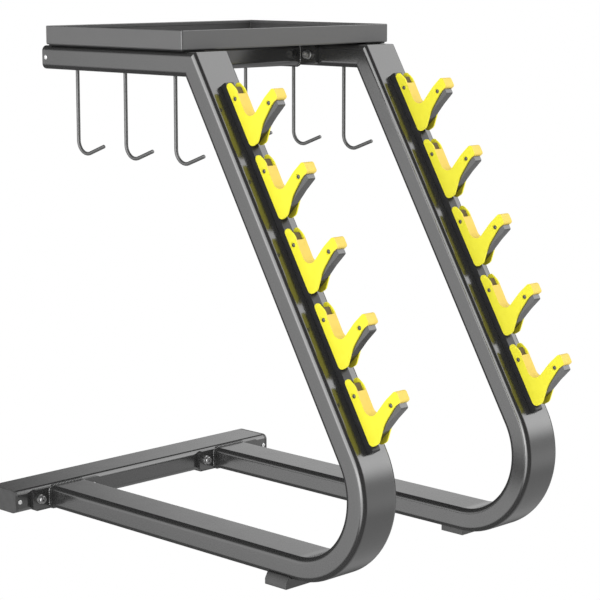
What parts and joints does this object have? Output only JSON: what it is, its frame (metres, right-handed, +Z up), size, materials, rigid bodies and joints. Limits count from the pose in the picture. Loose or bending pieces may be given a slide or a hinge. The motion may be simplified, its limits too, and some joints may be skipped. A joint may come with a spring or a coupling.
{
  "type": "bar and handle rack",
  "caption": "Leaning A-frame gym rack: two bent-tube side frames with yellow V cradles for short bars, a shallow top tray, and J hooks for handles under the top rails.",
  "frame": {"origin": "on the floor, at the middle of the bounding box seen from above", "axes": "+X to the rack's right, across the two side frames; +Y to the rear, away from the cradles; +Z up"},
  "size_m": [0.7746, 1.1214, 1.0872],
  "materials": {
    "frame_paint": "gloss metallic grey paint",
    "tray_paint": "satin dark grey paint",
    "yellow_urethane": "semi-gloss yellow urethane",
    "cradle_paint": "satin dark grey paint",
    "black_plastic": "fine grained black",
    "rubber": "matt black",
    "hook_steel": "satin dark grey coating",
    "bolt_steel": "black oxide",
    "screw_steel": "bright zinc plate"
  },
  "bodies": {
    "root": {"left_backing_strip": "black_plastic", "left_beam_cap_screw": "screw_steel", "left_beam_end_cap": "black_plastic", "left_cradle_core_1": "cradle_paint", "left_cradle_core_2": "cradle_paint", "left_cradle_core_3": "cradle_paint", "left_cradle_core_4": "cradle_paint", "left_cradle_core_5": "cradle_paint", "left_cradle_saddle_1": "yellow_urethane", "left_cradle_saddle_2": "yellow_urethane", "left_cradle_saddle_3": "yellow_urethane", "left_cradle_saddle_4": "yellow_urethane", "left_cradle_saddle_5": "yellow_urethane", "left_front_foot": "rubber", "left_front_hook": "hook_steel", "left_lower_flange": "frame_paint", "left_lower_inner_bolt": "bolt_steel", "left_lower_outer_bolt": "bolt_steel", "left_middle_hook": "hook_steel", "left_rail_cap_screw": "screw_steel", "left_rear_foot": "rubber", "left_rear_hook": "hook_steel", "left_side_frame": "frame_paint", "left_top_rail": "frame_paint", "left_top_rail_end_cap": "black_plastic", "left_upper_flange": "frame_paint", "left_upper_front_bolt": "bolt_steel", "left_upper_rear_bolt": "bolt_steel", "rear_base_beam": "frame_paint", "right_backing_strip": "black_plastic", "right_beam_cap_screw": "screw_steel", "right_beam_end_cap": "black_plastic", "right_cradle_core_1": "cradle_paint", "right_cradle_core_2": "cradle_paint", "right_cradle_core_3": "cradle_paint", "right_cradle_core_4": "cradle_paint", "right_cradle_core_5": "cradle_paint", "right_cradle_saddle_1": "yellow_urethane", "right_cradle_saddle_2": "yellow_urethane", "right_cradle_saddle_3": "yellow_urethane", "right_cradle_saddle_4": "yellow_urethane", "right_cradle_saddle_5": "yellow_urethane", "right_front_foot": "rubber", "right_front_hook": "hook_steel", "right_lower_flange": "frame_paint", "right_lower_inner_bolt": "bolt_steel", "right_lower_outer_bolt": "bolt_steel", "right_middle_hook": "hook_steel", "right_rail_cap_screw": "screw_steel", "right_rear_foot": "rubber", "right_rear_hook": "hook_steel", "right_side_frame": "frame_paint", "right_top_rail": "frame_paint", "right_top_rail_end_cap": "black_plastic", "right_upper_flange": "frame_paint", "right_upper_front_bolt": "bolt_steel", "right_upper_rear_bolt": "bolt_steel", "storage_tray": "tray_paint", "top_cross_member": "frame_paint", "tray_mat": "rubber"}
  },
  "joints": []
}
